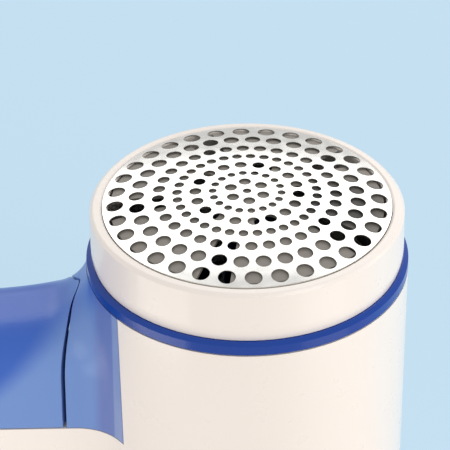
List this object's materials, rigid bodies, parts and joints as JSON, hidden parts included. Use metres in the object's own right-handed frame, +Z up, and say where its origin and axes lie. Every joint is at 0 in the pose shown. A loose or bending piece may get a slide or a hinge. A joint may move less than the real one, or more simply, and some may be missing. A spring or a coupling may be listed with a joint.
{
  "type": "fabric shaver",
  "caption": "Hand-held fabric shaver with a round perforated foil head, a blue see-through lint container behind it, and a handle in line with the container.",
  "frame": {"origin": "centre of the base pad's underside, on the head's axis, at the surface that the shaver rests on", "axes": "+Z up along the head's axis to the foil, -X along the handle, Y across it"},
  "size_m": [0.1738, 0.0556, 0.062],
  "materials": {
    "cream_plastic": "satin moulded plastic",
    "blue_clear": "see-through blue plastic",
    "blue_plastic": "gloss moulded plastic",
    "foil_steel": "etched stainless foil",
    "blade_steel": "stamped steel, tumbled dull",
    "shaft_steel": "ground steel",
    "can_steel": "zinc-plated steel",
    "magnet": "sintered ferrite",
    "copper": "enamelled copper winding",
    "brass": "plain brass",
    "dark_plastic": "moulded plastic",
    "grey_plastic": "moulded plastic",
    "screw_steel": "nickel-plated steel",
    "rubber": "moulded rubber",
    "cell": "printed cell sleeve",
    "board": "coated circuit board",
    "wire": "PVC insulation"
  },
  "bodies": {
    "body": {"body_shell": "cream_plastic", "rear_cover": "cream_plastic", "neck_cover": "blue_clear", "head_collar": "grey_plastic", "motor_can": "can_steel", "motor_end_cap": "dark_plastic", "motor_bushes": "brass", "motor_magnets": "magnet", "motor_terminals": "brass", "motor_screws": "screw_steel", "deck_screws": "screw_steel", "chamber_floor": "grey_plastic", "cell_tray": "grey_plastic", "board_bosses": "grey_plastic", "cell_front": "cell", "cell_rear": "cell", "contact_plate": "screw_steel", "contact_spring": "screw_steel", "spring_plate": "screw_steel", "latch_spring": "screw_steel", "switch_body": "dark_plastic", "switch_board": "board", "motor_wires": "wire", "base_pad": "rubber"},
    "rotor": {"motor_shaft": "shaft_steel", "motor_armature": "copper", "lint_fan": "dark_plastic", "rotor_hub": "dark_plastic", "cutter_blades": "blade_steel"},
    "foil_head": {"foil": "foil_steel", "foil_frame": "cream_plastic"},
    "cap": {"guard_cap": "cream_plastic"},
    "collar_ring": {"height_ring": "blue_plastic"},
    "container": {"lint_container": "blue_clear"},
    "door": {"battery_door": "cream_plastic", "heel_pad": "rubber"},
    "switch": {"switch_button": "blue_plastic"},
    "latch": {"latch_button": "blue_plastic"}
  },
  "joints": [
    {"name": "rotor_spin", "type": "hinge", "parent": "body", "child": "rotor", "pos_m": [0, 0, 0.04], "axis": [0, 0, 1], "continuous": true},
    {"name": "foil_head_lift", "type": "slide", "parent": "body", "child": "foil_head", "axis": [0, 0, 1], "range_m": [0, 0.016]},
    {"name": "height_ring_turn", "type": "hinge", "parent": "foil_head", "child": "collar_ring", "pos_m": [0, 0, 0.0484], "axis": [0, 0, 1], "range_deg": [0, 30]},
    {"name": "guard_cap_rise", "type": "slide", "parent": "foil_head", "child": "cap", "axis": [0, 0, 1], "range_m": [0, 0.002]},
    {"name": "container_lift", "type": "slide", "parent": "body", "child": "container", "axis": [0, 0, 1], "range_m": [0, 0.03]},
    {"name": "battery_door_slide", "type": "slide", "parent": "body", "child": "door", "axis": [-1, 0, 0], "range_m": [0, 0.045]},
    {"name": "switch_slide", "type": "slide", "parent": "body", "child": "switch", "axis": [0.9985, 0, 0.0549], "range_m": [0, 0.006]},
    {"name": "latch_press", "type": "slide", "parent": "body", "child": "latch", "axis": [0, 0, -1], "range_m": [0, 0.0015], "stiffness_N_per_m": 300}
  ],
  "couplings": [
    {"joint": "guard_cap_rise", "follows": "height_ring_turn", "m_per_rad": 0.00382}
  ]
}
